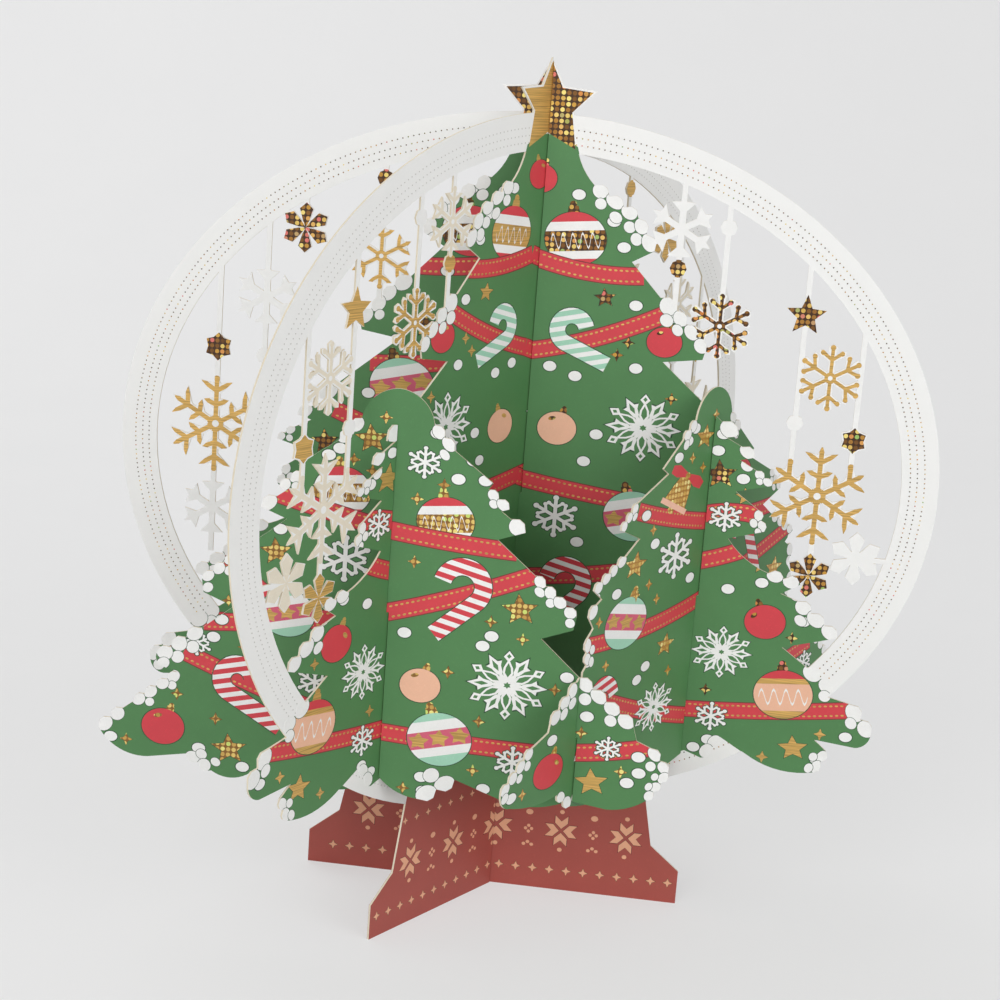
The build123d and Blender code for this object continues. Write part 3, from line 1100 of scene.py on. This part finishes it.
def slim_flake(art, foil, place, radius, stems):
    """Foil lines along the arms of a flake, with a ball at every end.

    A stem is given by where it leaves its arm, and by how far out and aside it ends, in shares of
    the flake's radius.
    """
    width = 0.2 + 0.07 * radius
    ball = 0.3 + 0.035 * radius
    runs = [((0.0, 0.0), (0.9, 0.0))]
    for root, out, aside in stems:
        runs += [((root, 0.0), (out, aside)), ((root, 0.0), (out, -aside))]
    for angle in six_ways:
        for run in runs:
            start, end = moved(run, place, angle, radius)
            art.fill(foil, stroke(start, end, width))
            art.fill(foil, disc(end, ball, 10))
    art.fill(foil, disc(place, 0.17 * radius, 12))
    art.fill("white", disc(place, 0.07 * radius, 12))


def lace_art(art, sheet):
    for kind, place, radius, foil_on_broad, foil_on_cross in lace_stamps:
        foil = foil_on_broad if sheet is broad else foil_on_cross
        if foil is None:
            continue
        if kind in flake_stems:
            slim_flake(art, foil, place, radius, flake_stems[kind])
        elif kind == "petal":
            for angle in six_ways:
                art.fill(foil, moved(petal, place, angle, radius))
        elif kind == "star":
            art.fill(foil, pointed(place, radius, 5, lace_star_dip))
        elif kind == "hexagram":
            art.fill(foil, pointed(place, radius, 6, hexagram_dip))
        else:
            art.fill(foil, disc(place, radius))


print("stamps on the lace:", len(lace_stamps))

# %% [markdown]
# The layouts are tables: a motif, its place and its sizes, in the order in which they are laid down.
# Both large sheets carry the same print, one with pixel foil and one with gold, and the right half
# of the broad sheet is the front half of the cross sheet.


# %% Right half of the large sheets
def scatter(art, motif, places, *sizes):
    for place in places:
        motif(art, place, *sizes)


globe_right = [
    (red_bauble, (7.0, 132.2), 5.6), (ribbon, (0, 128.0), (20.5, 126.2), 1.0),
    (ribbon, (0, 110.2), (27.5, 120.6), 1.2), (ribbon, (0, 85.0), (36.3, 81.4), 0.6),
    (ribbon, (36.3, 81.4), (47.6, 81.8), -0.8), (ribbon, (0, 65.2), (36.3, 72.0), 1.0),
    (ribbon, (36.3, 72.0), (50.5, 78.4), 0.6), (ribbon, (0, 42.0), (71, 45.2), 2.0),
    (peach_bauble, (55.0, 46.6), 5.5), (plain_ball, (-0.5, 143.0), 3.0, "red"),
    (foil_star, (13.5, 121.5), 2.0),
    (candy_cane, (7.7, 114.8), 2.8, (14.9, 108.7), "mint", 3.0, True),
    (plain_ball, (25.5, 114.0), 3.2, "red"), (plain_ball, (6.3, 95.5), 3.6, "peach"),
    (lace_snowflake, (22.9, 97.1), 7.2), (snowflake, (7.3, 78.0), 4.7),
    (mint_bauble, (22.5, 79.5), 5.5), (candy_cane, (10.3, 64.9), 3.7, (6.0, 55.5), "red", 3.0),
    (lace_snowflake, (42.2, 54.0), 5.8), (foil_star, (38.5, 89.5), 3.2),
    (snowflake, (40.3, 81.2), 3.3), (foil_star, (43.8, 85.6), 1.9, "gold"),
    (foil_star, (48.2, 72.4), 1.9, "gold"), (plain_ball, (50.0, 61.0), 3.8, "red", 0.35),
    (snowflake, (41.4, 40.6), 3.3), (foil_star, (58.0, 35.8), 2.9, "gold"),
    (scatter, sparkle, [
        (18.7, 113.3), (16.7, 110.8), (27.8, 103.2), (55.5, 58.3), (39.8, 46.0), (30.5, 60.0),
        (28.0, 50.0), (12.0, 47.0),
    ]),
    (scatter, sparkle, [
        (52.2, 33.3), (63.0, 39.2),
    ], 1.25, "gold"),
    (scatter, snow_dot, [
        (7, 140.5), (14, 136), (16.3, 131.3), (19.5, 120.5), (26, 118.5), (4, 107.5), (9, 106),
        (20.5, 108.5), (14, 95), (12, 89.5), (12, 73.3), (43, 89), (42.2, 66.9), (38.5, 33.8),
        (41.2, 35.7), (68, 39.2), (62.8, 34), (30, 72), (32, 46), (20, 37), (7, 38), (26, 36),
        (37.7, 94.1), (38.4, 97.4), (48.6, 68.8), (57.4, 61.8),
    ]),
]
print("motifs on the right half:", len(globe_right))

# %% [markdown]
# The left half of the broad sheet is the back half of the cross sheet. Its ribbons meet those of the
# right half on the centre line.

# %% Left half of the large sheets
globe_left = [
    (red_bauble, (-13.0, 132.0), 5.3), (ribbon, (-22.5, 124.6), (0, 128.0), 0.8),
    (ribbon, (-31, 105.0), (0, 110.2), 1.2), (ribbon, (-37.5, 95.2), (0, 85.0), 1.2),
    (ribbon, (-48.5, 77.2), (0, 85.0), 2.2), (ribbon, (-60, 63.0), (-46, 56.0), -0.5),
    (ribbon, (-62, 49.6), (0, 65.2), 3.6), (ribbon, (-70, 42.0), (0, 42.0), 3.4),
    (foil_star, (-20.5, 113.2), 2.6), (mint_bauble, (-24.5, 101.0), 6.0),
    (lace_snowflake, (-8.5, 97.5), 6.4), (foil_star, (-39.0, 88.6), 2.7),
    (candy_cane, (-24.0, 76.5), 4.0, (-32.0, 64.0), "mint", 2.6, True),
    (foil_star, (-48.2, 65.0), 3.0), (lace_snowflake, (-34.0, 66.0), 5.6),
    (plain_ball, (-15.0, 70.0), 4.0, "red"), (mint_bauble, (-46.0, 53.0), 5.4),
    (peach_bauble, (-24.0, 47.0), 5.7), (snowflake, (-12.0, 56.0), 4.4),
    (plain_ball, (-60.0, 41.0), 4.0, "red", 0.3), (foil_star, (-47.0, 36.6), 2.9),
    (snowflake, (-33.0, 38.6), 3.2),
    (scatter, sparkle, [
        (-28, 92.5), (-33.5, 85.4), (-57, 54), (-12.5, 120), (-9, 114.6), (-17, 95), (-38, 58.5),
        (-54, 34),
    ]),
    (scatter, snow_dot, [
        (-7, 140), (-13.5, 140), (-17, 124), (-5, 121), (-26, 110), (-31, 99), (-42, 84), (-20, 94),
        (-6, 76), (-26, 60), (-52, 47), (-38, 45), (-66, 38), (-8, 44), (-14, 36), (-58.3, 49.8),
    ]),
]
print("motifs on the left half:", len(globe_left))

# %% [markdown]
# On the small front tree the left half repeats the kinds of motif of the right half, with a cane and
# a ball of its own. The side tree is seen at a slant, and its motifs are a little broader.

# %% Small trees
front_ornaments = [
    (red_bauble, (9.7, 83.0), 5.0), (ribbon, (0, 80.4), (23, 78.7), 0.3),
    (ribbon, (0, 65.0), (28, 75.4), 0.6), (ribbon, (0, 42.0), (36, 41.2), 0.4),
    (ribbon, (36, 42.0), (50, 44.6), 0.3), (red_bauble, (-9.4, 86.8), 5.0),
    (ribbon, (-23, 85.6), (0, 80.4), 0.2), (ribbon, (-32, 73.4), (-19, 63.5), 0.3),
    (ribbon, (-34, 59.6), (0, 65.0), 0.8), (ribbon, (-37.5, 53.4), (0, 42.0), 1.0),
    (snowflake, (5.3, 93.5), 3.3), (candy_cane, (13.6, 71.2), 3.8, (8.8, 61.8), "red", 3.2),
    (foil_star, (24.3, 68.0), 3.3), (lace_snowflake, (23.0, 53.5), 7.2),
    (plain_ball, (7.0, 51.7), 3.6, "peach"), (mint_bauble, (11.2, 41.7), 5.7),
    (snowflake, (25.0, 38.8), 3.5), (snowflake, (42.3, 43.5), 2.6),
    (foil_star, (39.8, 36.7), 3.0, "gold"), (plain_ball, (-41.0, 38.3), 3.9, "red", -0.3),
    (foil_star, (-28.2, 35.3), 3.3),
    (candy_cane, (-27.2, 49.0), 3.0, (-18.6, 40.6), "red", 3.4, True),
    (mint_bauble, (-18.4, 62.8), 4.9), (foil_star, (-4.6, 96.9), 3.0), (snowflake, (-8.2, 74.3), 4.9),
    (foil_star, (-21.0, 74.3), 2.9), (snowflake, (-12.6, 50.2), 3.4), (snowflake, (-35.0, 55.4), 2.8),
    (scatter, sparkle, [
        (4.3, 86.7), (9, 89.7), (4.5, 75), (19.2, 65.2), (25.2, 62.5), (12.0, 54.8), (18.3, 46),
        (17.8, 36.4), (5, 31.5), (31.8, 53.6), (37.2, 46), (45, 39.3), (-48, 35), (-38.5, 45),
        (-31, 40.9), (-29.5, 64), (-26.1, 55.4), (-2.2, 101), (-7.6, 92.8), (-4.1, 91),
    ]),
    (scatter, snow_dot, [
        (3.5, 61.5), (19.5, 62.5), (18, 60.5), (33.8, 56.2), (8.3, 34), (8.8, 31.3), (20, 33),
        (7.2, 99), (11.5, 91), (14, 94.6), (16.4, 91.2), (38, 49.2), (48, 42.5), (48.3, 39.4),
        (46.3, 37.3), (-34, 34.8), (-25.5, 32), (-51, 35.2), (-10, 34), (-4, 50), (-20.4, 78.6),
        (-12.2, 93.2), (-10.2, 94.6), (-30.6, 60.3), (-32, 56.8), (-4, 58),
    ]),
]
side_ornaments = [
    (ribbon, (0, 80.0), (24, 85.4), 0.4), (ribbon, (0, 64.0), (40, 62.4), 1.4),
    (ribbon, (0, 40.2), (31, 50.4), 0.6), (ribbon, (-27, 79.6), (0, 80.0), 0.6),
    (ribbon, (-35, 73.8), (0, 64.0), 0.2), (ribbon, (-50, 45.4), (0, 40.2), 1.0),
    (foil_star, (2.8, 97.0), 2.7), (bell, (10.0, 87.2)), (snowflake, (9.6, 74.6), 5.1),
    (foil_star, (23.4, 75.0), 3.0), (mint_bauble, (25.0, 64.2), 5.5), (foil_star, (10.3, 57.0), 2.6),
    (candy_cane, (30.6, 49.8), 3.7, (37.0, 40.0), "red", 3.0), (lace_snowflake, (12.4, 44.8), 5.5),
    (plain_ball, (46.5, 40.5), 3.6, "red", 0.3), (plain_ball, (-12.0, 88.0), 3.2, "red"),
    (candy_cane, (-14.6, 74.0), 3.4, (-22.6, 65.4), "red", 3.2, True),
    (foil_star, (-29.9, 65.4), 2.8), (peach_bauble, (-14.0, 54.0), 5.2),
    (candy_cane, (-30.0, 52.0), 3.6, (-38.0, 41.0), "mint", 2.6, True),
    (snowflake, (-48.0, 41.0), 3.0), (foil_star, (-20.0, 37.0), 2.6),
    (scatter, sparkle, [
        (-0.5, 101), (2.6, 91), (6.7, 93.3), (18.3, 81), (18.2, 70.4), (15, 67), (22.2, 69), (34, 66),
        (30.6, 57), (8.4, 51.4), (54, 38), (-6, 93), (-12, 61.5), (-8, 47), (-42, 47),
    ]),
    (scatter, snow_dot, [
        (6.4, 99), (8.6, 96.8), (11.6, 94), (17.3, 78.2), (3.5, 69.2), (21.2, 84.2), (29, 70.5),
        (16.8, 54), (19.4, 51.8), (36.5, 59), (46, 46.3), (57.3, 38.2), (-5, 69), (-24, 58),
        (-36, 60), (-28, 42), (-10, 38),
    ]),
]
print("motifs on the small trees:", len(front_ornaments), "and", len(side_ornaments))

# %% [markdown]
# A large sheet is printed from the outside in: the ring, the lace, the trunk, the green with its
# ornaments and snow, and the star. A small tree has only the green. The cross sheet's ornaments sit
# a little off those of the broad sheet, as two sheets from two runs of a press do.

# %% From layouts to drawings
narrow_motifs = 1.05
broad_motifs = 1.25


def hang(art, ornaments):
    for motif, *sizes in ornaments:
        motif(art, *sizes)


def globe_print(sheet, shift):
    art = Artwork(sheet.foil, narrow_motifs)
    dice = random.Random(7)
    ring_art(art, "holo" if sheet is broad else "silver")
    lace_art(art, sheet)
    trunk_art(art)
    art.open_field("green", tree_outline(tree_top, globe_tree, globe_tree))
    art.shift = shift
    hang(art, globe_left + globe_right)
    art.shift = (0.0, 0.0)
    for flip in (1, -1):
        snow_on_edge(art, globe_tree, flip, dice)
    art.close_field()
    art.fill(art.foil, both_halves(star_half))
    return art


def small_print(sheet, ornaments, right_steps, left_steps, seed, motif_wide):
    art = Artwork(sheet.foil, motif_wide)
    dice = random.Random(seed)
    art.open_field("green", tree_outline(head_top, right_steps, left_steps))
    hang(art, ornaments)
    snow_on_edge(art, right_steps, 1, dice)
    snow_on_edge(art, left_steps, -1, dice)
    art.close_field()
    return art


prints = {
    broad.node: globe_print(broad, (0.0, 0.0)),
    cross.node: globe_print(cross, (2.0, 0.8)),
    front.node: small_print(front, front_ornaments, front_right, front_left, 11, narrow_motifs),
    side.node: small_print(side, side_ornaments, side_tree, side_tree, 17, broad_motifs),
}
print("outlines:", {node: len(art.shapes) for node, art in prints.items()})

# %% [markdown]
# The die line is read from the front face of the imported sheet: its triangles share their inner sides
# in pairs, and the sides that have no partner, put in a row, are the outlines of the card. Print
# outside them falls away later, as it does at the cutter.


# %% Die line of a packed sheet
def die_loops(sheet):
    """Closed outlines of a sheet's front face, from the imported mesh, in millimetres."""
    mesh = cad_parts[sheet.node].data
    flat = {}
    sides = []
    for face in mesh.polygons:
        if face.normal.dot(sheet.normal) < 0.99:
            continue
        corners = []
        for index in face.vertices:
            spot = mesh.vertices[index].co / MM - sheet.centre
            key = (round(spot.dot(sheet.along), 3), round(spot.z, 3))
            flat[key] = (spot.dot(sheet.along), spot.z)
            corners.append(key)
        sides += zip(corners, corners[1:] + corners[:1])
    single = dict.fromkeys(sides)
    following = {}
    for a, b in single:
        if (b, a) not in single:
            following.setdefault(a, []).append(b)
    loops = []
    while following:
        first = next(iter(following))
        loop = [first]
        here = following[first].pop()
        if not following[first]:
            del following[first]
        while here != first:
            loop.append(here)
            ahead = following[here].pop()
            if not following[here]:
                del following[here]
            here = ahead
        loops.append([flat[key] for key in loop])
    return loops


die_lines = {sheet.node: die_loops(sheet) for sheet in sheets}
print("outlines of the card:", {node: len(loops) for node, loops in die_lines.items()})

# %% [markdown]
# A printer never lays one ink over another where it can be helped: each colour is knocked out of
# the ones below it. Cutting the outlines from each other by Boolean modifiers would take hundreds of
# steps. Here all outlines of a sheet go into one triangulation, and each triangle takes the ink of
# the topmost outline over it.


# %% Knock the inks out of each other
def signed_area(points):
    following = points[1:] + points[:1]
    return sum(a[0] * b[1] - b[0] * a[1] for a, b in zip(points, following)) / 2


def inside_fields(shapes, index, above):
    """Whether an outline's field, and the field around that one, lie under the same triangle."""
    field = shapes[index][2]
    return field is None or (field in above and inside_fields(shapes, field, above))


def knock_out(shapes, loops):
    """Triangles of each ink, from all outlines of a sheet inside its die line."""
    corners = []
    faces = []
    for points in loops + [points for ink, points, field in shapes]:
        ordered = points if signed_area(points) > 0 else points[::-1]
        faces.append(list(range(len(corners), len(corners) + len(ordered))))
        corners += [Vector(point) for point in ordered]
    places, _, triangles, _, _, origins = delaunay_2d_cdt(corners, [], faces, 1, 1e-4)
    holes = {index for index, loop in enumerate(loops) if signed_area(loop) < 0}
    inked = {}
    for triangle, covering in zip(triangles, origins):
        on_card = any(c < len(loops) and c not in holes for c in covering)
        if not on_card or any(c in holes for c in covering):
            continue
        above = sorted((c - len(loops) for c in covering if c >= len(loops)), reverse=True)
        for index in above:
            if inside_fields(shapes, index, above):
                inked.setdefault(shapes[index][0], []).append(triangle)
                break
    return places, inked


layers = {node: knock_out(art.shapes, die_lines[node]) for node, art in prints.items()}
print("inks on each sheet:", {node: len(inked) for node, (places, inked) in layers.items()})

# %% [markdown]
# Each ink of a sheet becomes one thin piece. A texture could show the print, but a film of its own
# takes any material and stays sharp close up. Its flat triangles are laid on both faces of the card,
# a limited dissolve joins what lies in one plane, and a Solidify modifier gives the film its
# thickness, so the piece is closed.


# %% Lay the films on the card
def lay_film(sheet, ink, places, triangles, material):
    used = sorted({index for triangle in triangles for index in triangle})
    count = len(used)
    order = {index: step for step, index in enumerate(used)}
    vertices = [sheet.point(places[i].x, places[i].y, card / 2) for i in used]
    vertices += [sheet.point(places[i].x, places[i].y, -card / 2) for i in used]
    faces = []
    for triangle in triangles:
        a, b, c = (order[index] for index in triangle)
        faces.append((a, b, c))
        faces.append((c + count, b + count, a + count))
    mesh = bpy.data.meshes.new(sheet.node + "_" + ink)
    mesh.from_pydata(vertices, [], faces)
    piece = bpy.data.objects.new(sheet.node + "_" + ink, mesh)
    scene.collection.objects.link(piece)
    bpy.ops.object.select_all(action="DESELECT")
    bpy.context.view_layer.objects.active = piece
    piece.select_set(True)
    bpy.ops.object.mode_set(mode="EDIT")
    bpy.ops.mesh.select_all(action="SELECT")
    bpy.ops.mesh.dissolve_limited(angle_limit=radians(0.5), delimit={"NORMAL"})
    bpy.ops.object.mode_set(mode="OBJECT")
    bpy.ops.object.modifier_add(type="SOLIDIFY")
    film = piece.modifiers[-1]
    film.thickness = ink_film * MM
    film.offset = 1.0
    bpy.ops.object.modifier_apply(modifier=film.name)
    piece.data.materials.append(material)
    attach(piece, "root")


for sheet in sheets:
    places, inked = layers[sheet.node]
    for ink, triangles in sorted(inked.items()):
        material = ink_materials.get(ink) or foil_materials[sheet.node][ink]
        lay_film(sheet, ink, places, triangles, material)
    print(sheet.node, {ink: len(triangles) for ink, triangles in inked.items()})

# %% [markdown]
# The table is a plain pale plane whose far edge bends up into a backdrop. It looks paler in the
# picture than it shines on the card: rays that show the background get part of their light from a
# pale emission, and all others see only the lit surface.

# %% Table
table_size = 2.4
table_middle = (0, -0.4, 0)
backdrop_rise = (0, 0.2, 1.6)
backdrop_bend = 0.35
pale_share = 0.6


def background_rays(finish):
    """1 for rays that show the background: seen directly, in a gloss or through something clear."""
    kinds = ("Is Camera Ray", "Is Glossy Ray", "Is Transmission Ray")
    direct, glossy, through = (finish.node("ShaderNodeLightPath", output=kind) for kind in kinds)
    return direct | glossy | through


bpy.ops.object.select_all(action="DESELECT")
bpy.ops.mesh.primitive_plane_add(size=table_size, location=table_middle)
table = bpy.context.object
table.name = "table"
bpy.ops.object.mode_set(mode="EDIT")
bpy.ops.mesh.select_mode(type="EDGE")
bpy.ops.mesh.select_all(action="DESELECT")
bpy.ops.object.mode_set(mode="OBJECT")
for edge in table.data.edges:
    edge.select = all(table.data.vertices[index].co.y > 0 for index in edge.vertices)
bpy.ops.object.mode_set(mode="EDIT")
bpy.ops.mesh.extrude_region_move(TRANSFORM_OT_translate={"value": backdrop_rise})
bpy.ops.object.mode_set(mode="OBJECT")
bpy.ops.object.modifier_add(type="BEVEL")
bend = table.modifiers[-1]
bend.width = backdrop_bend
bend.segments = 12
bend.limit_method = "ANGLE"
bpy.ops.object.modifier_apply(modifier=bend.name)
bpy.ops.object.shade_smooth()
bpy.ops.object.transform_apply(location=True)
table_finish = Finish("table_top", roughness=0.9)
table_finish.shader.inputs["Specular IOR Level"].default_value = 0.1
table_clouds = table_finish.noise(60.0)
table_tone = table_finish.mix(table_clouds, srgb(240, 240, 241), srgb(246, 246, 246))
table_finish.feed("Base Color", table_tone)
pale = table_finish.node("ShaderNodeEmission", inputs={"Color": srgb(234, 234, 234)})
lit = Value(table_finish, table_finish.shader.outputs[0])
share = background_rays(table_finish) * pale_share
surface = table_finish.node("ShaderNodeMixShader", inputs={0: share, 1: lit, 2: pale})
table_output = table_finish.tree.nodes["Material Output"]
table_finish.tree.links.new(surface.socket, table_output.inputs["Surface"])
table.data.materials.append(table_finish.material)
print("table:", len(table.data.polygons), "faces")

# %% [markdown]
# A large soft lamp in front and to the left models the sheets, a weaker one fills from the right, and
# a third one lights the back. The pale world keeps the shade open.

# %% Lamps and world
lamp_size = 0.8
lamp_aim = Vector((0, 0, 0.08))
lamps = [
    ("key_lamp", (-0.35, -0.95, 0.62), 6.0),
    ("fill_lamp", (0.85, -0.6, 0.5), 4.0),
    ("back_lamp", (-0.55, 0.55, 0.75), 2.6),
]
for name, place, power in lamps:
    bpy.ops.object.light_add(type="AREA", location=place)
    lamp = bpy.context.object
    lamp.name = name
    lamp.data.shape = "DISK"
    lamp.data.size = lamp_size
    lamp.data.energy = power
    lamp.rotation_euler = (lamp_aim - Vector(place)).to_track_quat("-Z", "Y").to_euler()
print("lamps:", [name for name, place, power in lamps])


class Surround(Finish):
    """The world's nodes, written with the same expressions as a material's."""

    def __init__(self, name):
        world = bpy.data.worlds.new(name)
        world.use_nodes = True
        scene.world = world
        self.tree = world.node_tree
        self.shader = self.tree.nodes["Background"]


sky_light = 0.3
sky_seen = 0.76
sky = Surround("studio")
sky.shader.inputs["Color"].default_value = (1.0, 1.0, 1.0, 1.0)
sky.feed("Strength", sky_light + background_rays(sky) * (sky_seen - sky_light))

# %% [markdown]
# The camera looks a little down on the card, nearly square to the broad sheet, and is held with a
# small roll, as the photograph was.

# %% Camera
view_azimuth = radians(5.93)
view_elevation = radians(13.21)
view_roll = radians(4.24)
view_target = Vector((-3.69, 0.0, 80.13))
view_distance = 386.6
focal_pixels = 1972.6
frame_pixels = 1000

back = Vector((
    sin(view_azimuth) * cos(view_elevation),
    -cos(view_azimuth) * cos(view_elevation),
    sin(view_elevation),
))
level = Vector((cos(view_azimuth), sin(view_azimuth), 0))
upright = back.cross(level)
camera_right = level * cos(view_roll) + upright * sin(view_roll)
camera_up = upright * cos(view_roll) - level * sin(view_roll)
camera_data = bpy.data.cameras.new("camera")
camera_data.sensor_width = 36.0
camera_data.lens = focal_pixels * camera_data.sensor_width / frame_pixels
camera = bpy.data.objects.new("camera", camera_data)
scene.collection.objects.link(camera)
turn = Matrix((camera_right, camera_up, back)).transposed().to_4x4()
camera.matrix_world = Matrix.Translation((view_target + back * view_distance) * MM) @ turn
scene.camera = camera
print("camera lens:", round(camera_data.lens, 1), "mm")
